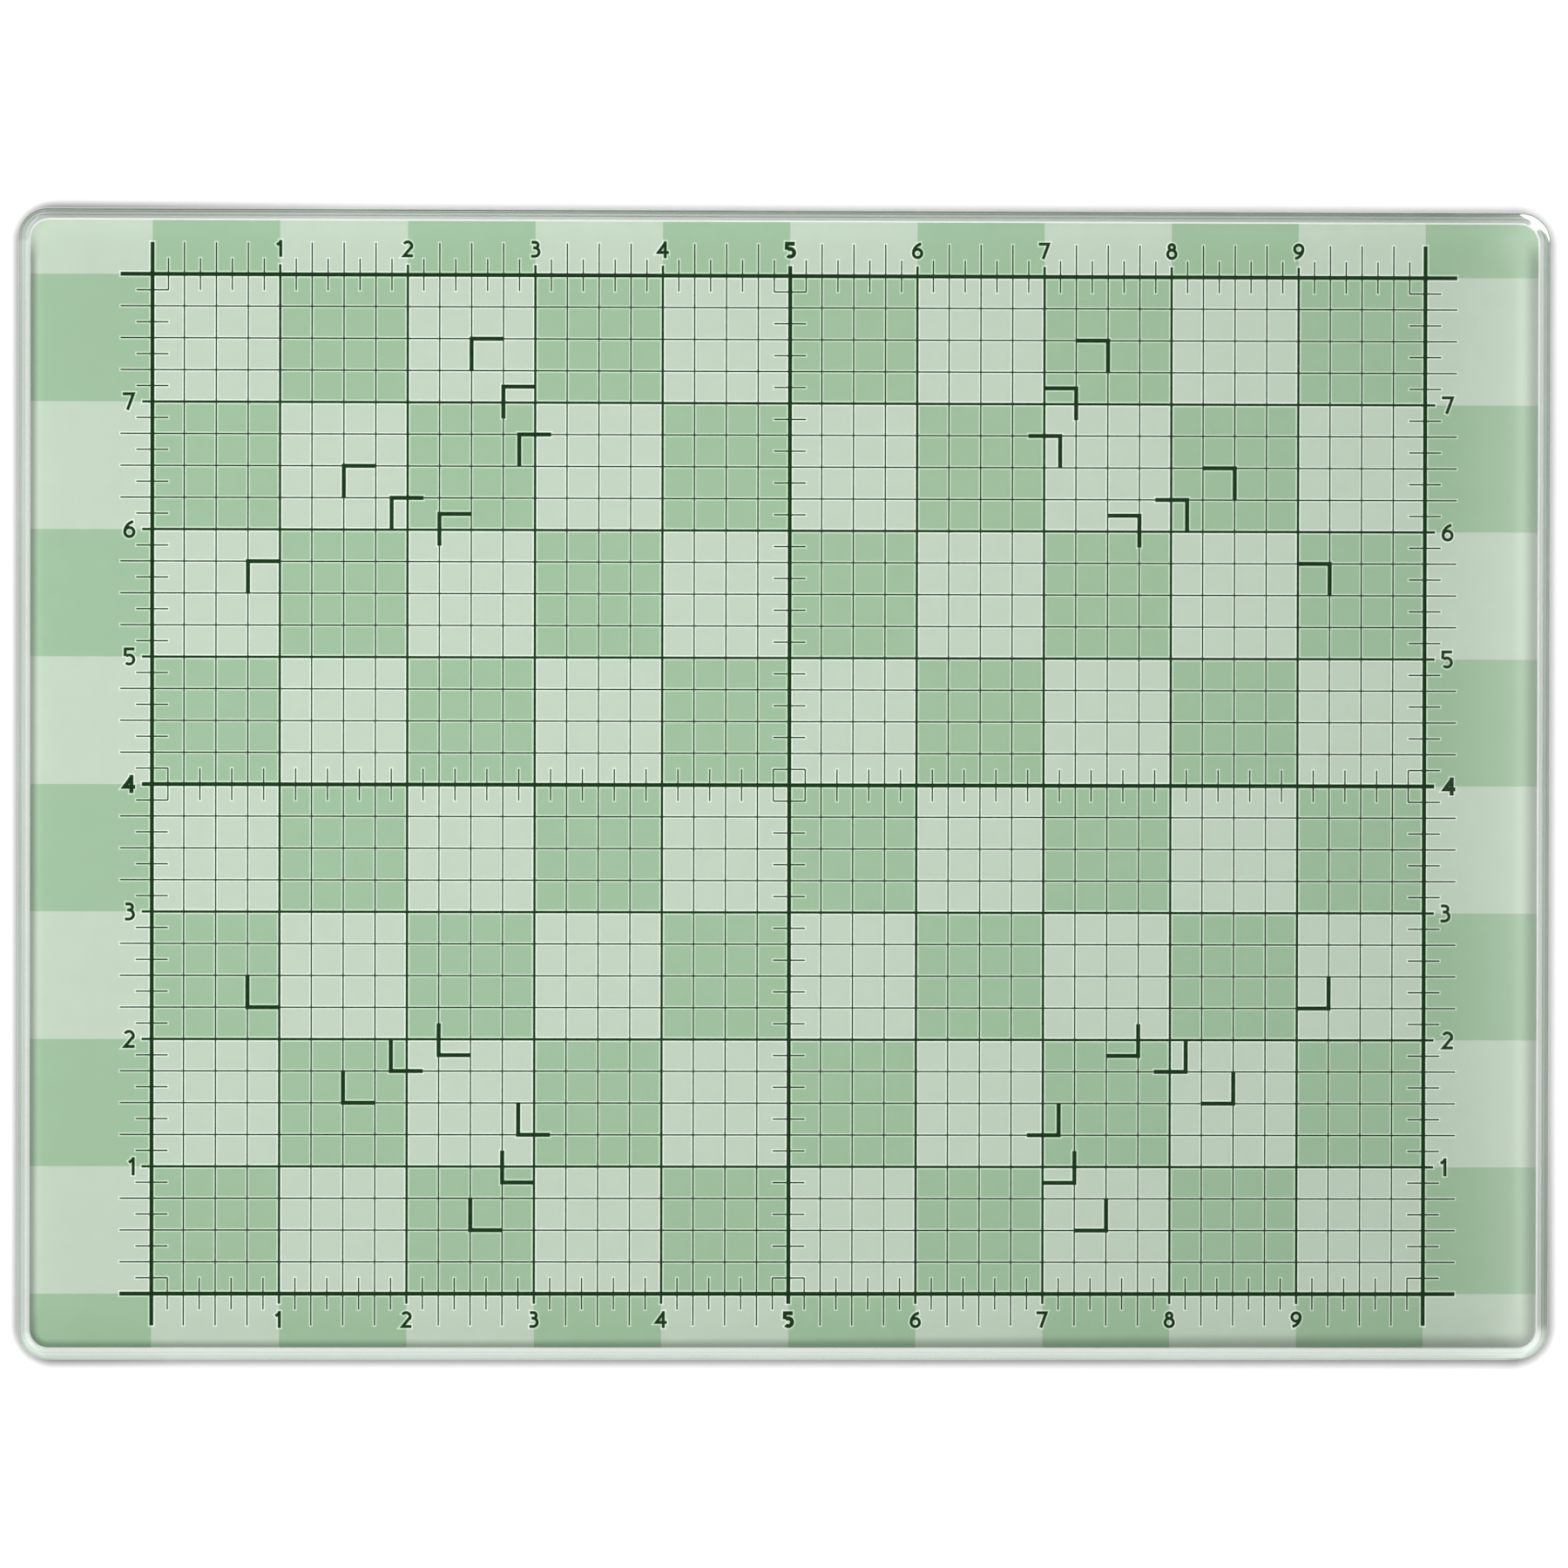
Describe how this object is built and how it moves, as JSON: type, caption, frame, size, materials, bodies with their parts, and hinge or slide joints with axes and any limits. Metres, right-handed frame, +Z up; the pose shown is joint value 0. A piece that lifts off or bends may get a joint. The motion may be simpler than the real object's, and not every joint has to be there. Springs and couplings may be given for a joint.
{
  "type": "glass craft mat",
  "caption": "Rectangular clear glass craft mat with rounded corners, a reverse-printed inch grid over a check pattern, card corner marks, ruler numerals and clear bumper feet.",
  "frame": {"origin": "on the floor under the middle of the mat, at the soles of its feet", "axes": "+X along the mat's length to the right as its numerals read, +Y towards its back edge, +Z up out of the working face"},
  "size_m": [0.3054, 0.2292, 0.0077],
  "materials": {
    "clear_glass": "clear polished tempered glass",
    "dark_ink": "dark green ink printed on the back of the glass",
    "check_ink": "mid green ink printed on the back of the glass",
    "ground_ink": "pale green ink printed on the back of the glass",
    "white_ink": "opaque white coat behind the print",
    "clear_bumper": "clear soft polyurethane",
    "adhesive": "clear acrylic adhesive"
  },
  "bodies": {
    "root": {"glass_plate": "clear_glass", "lengthwise_rules": "dark_ink", "crosswise_rules": "dark_ink", "card_marks": "dark_ink", "numerals": "dark_ink", "check_print": "check_ink", "ground_print": "ground_ink", "white_backing": "white_ink", "foot_front_left": "clear_bumper", "foot_front_right": "clear_bumper", "foot_back_left": "clear_bumper", "foot_back_right": "clear_bumper", "adhesive_front_left": "adhesive", "adhesive_front_right": "adhesive", "adhesive_back_left": "adhesive", "adhesive_back_right": "adhesive"}
  },
  "joints": []
}
